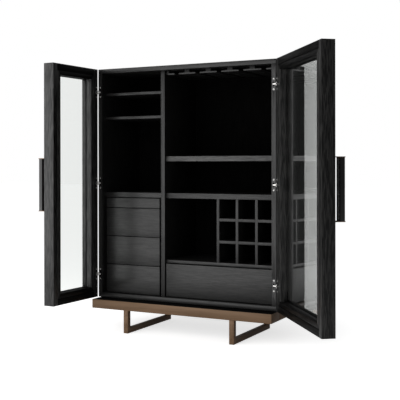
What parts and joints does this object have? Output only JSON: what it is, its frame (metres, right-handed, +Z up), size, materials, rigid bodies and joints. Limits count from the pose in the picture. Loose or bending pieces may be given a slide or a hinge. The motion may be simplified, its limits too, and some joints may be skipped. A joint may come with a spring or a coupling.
{
  "type": "bar cabinet",
  "caption": "Tall black oak bar cabinet with unequal glazed doors, drawers, shelves, a wine rack and stemware rails, on a metal sled base.",
  "frame": {"origin": "on the floor, under the middle of the base frame's footprint", "axes": "+Z up, +Y to the back, +X to the right of someone facing the doors"},
  "size_m": [1.8633, 1.0467, 1.588],
  "materials": {
    "black_oak": "black stained oak, open grain, satin",
    "door_oak": "black stained oak, open grain, satin",
    "drawer_oak": "black stained oak, open grain, satin",
    "bronze_paint": "brushed bronze-brown metal, satin",
    "handle_black": "black, satin",
    "clear_glass": "clear, polished",
    "nickel": "satin nickel"
  },
  "bodies": {
    "carcass": {"bottom_panel": "black_oak", "top_panel": "black_oak", "left_side_panel": "black_oak", "right_side_panel": "black_oak", "divider_panel": "black_oak", "back_panel": "black_oak", "left_mid_shelf": "black_oak", "right_mid_shelf": "black_oak", "bottle_shelf": "black_oak", "tumbler_shelf": "black_oak", "goblet_shelf": "black_oak", "rack_floor": "black_oak", "rack_uprights": "black_oak", "rack_shelves": "black_oak", "stemware_rails": "black_oak", "drawer_runners": "black_oak", "base_front_rail": "bronze_paint", "base_back_rail": "bronze_paint", "base_side_rails": "bronze_paint", "base_spacers": "black_oak", "left_sled": "bronze_paint", "right_sled": "bronze_paint", "carcass_hinge_leaves": "nickel", "hinge_pins": "nickel"},
    "left_door": {"left_door_hinge_stile": "door_oak", "left_door_free_stile": "door_oak", "left_door_rails": "door_oak", "left_door_glass": "clear_glass", "left_door_glazing_beads": "door_oak", "left_door_handle_bar": "handle_black", "left_door_handle_plates": "bronze_paint", "left_door_hinge_leaves": "nickel"},
    "right_door": {"right_door_hinge_stile": "door_oak", "right_door_free_stile": "door_oak", "right_door_rails": "door_oak", "right_door_glass": "clear_glass", "right_door_glazing_beads": "door_oak", "right_door_handle_bar": "handle_black", "right_door_handle_plates": "bronze_paint", "right_door_hinge_leaves": "nickel"},
    "tray_drawer": {"tray_drawer_front": "drawer_oak", "tray_drawer_sides": "drawer_oak", "tray_drawer_back": "drawer_oak", "tray_drawer_bottom": "drawer_oak"},
    "upper_drawer": {"upper_drawer_front": "drawer_oak", "upper_drawer_sides": "drawer_oak", "upper_drawer_back": "drawer_oak", "upper_drawer_bottom": "drawer_oak"},
    "middle_drawer": {"middle_drawer_front": "drawer_oak", "middle_drawer_sides": "drawer_oak", "middle_drawer_back": "drawer_oak", "middle_drawer_bottom": "drawer_oak"},
    "lower_drawer": {"lower_drawer_front": "drawer_oak", "lower_drawer_sides": "drawer_oak", "lower_drawer_back": "drawer_oak", "lower_drawer_bottom": "drawer_oak"},
    "wide_drawer": {"wide_drawer_front": "drawer_oak", "wide_drawer_sides": "drawer_oak", "wide_drawer_back": "drawer_oak", "wide_drawer_bottom": "drawer_oak"}
  },
  "joints": [
    {"name": "left_door_hinge", "type": "hinge", "parent": "carcass", "child": "left_door", "pos_m": [-0.5865, -0.197, 0.8905], "axis": [0, 0, -1], "range_deg": [-92.35, 87.65]},
    {"name": "right_door_hinge", "type": "hinge", "parent": "carcass", "child": "right_door", "pos_m": [0.5865, -0.197, 0.8905], "axis": [0, 0, 1], "range_deg": [-128, 52]},
    {"name": "tray_drawer_slide", "type": "slide", "parent": "carcass", "child": "tray_drawer", "axis": [0, -1, 0], "range_m": [0, 0.248]},
    {"name": "upper_drawer_slide", "type": "slide", "parent": "carcass", "child": "upper_drawer", "axis": [0, -1, 0], "range_m": [0, 0.248]},
    {"name": "middle_drawer_slide", "type": "slide", "parent": "carcass", "child": "middle_drawer", "axis": [0, -1, 0], "range_m": [0, 0.248]},
    {"name": "lower_drawer_slide", "type": "slide", "parent": "carcass", "child": "lower_drawer", "axis": [0, -1, 0], "range_m": [0, 0.248]},
    {"name": "wide_drawer_slide", "type": "slide", "parent": "carcass", "child": "wide_drawer", "axis": [0, -1, 0], "range_m": [0, 0.248]}
  ]
}
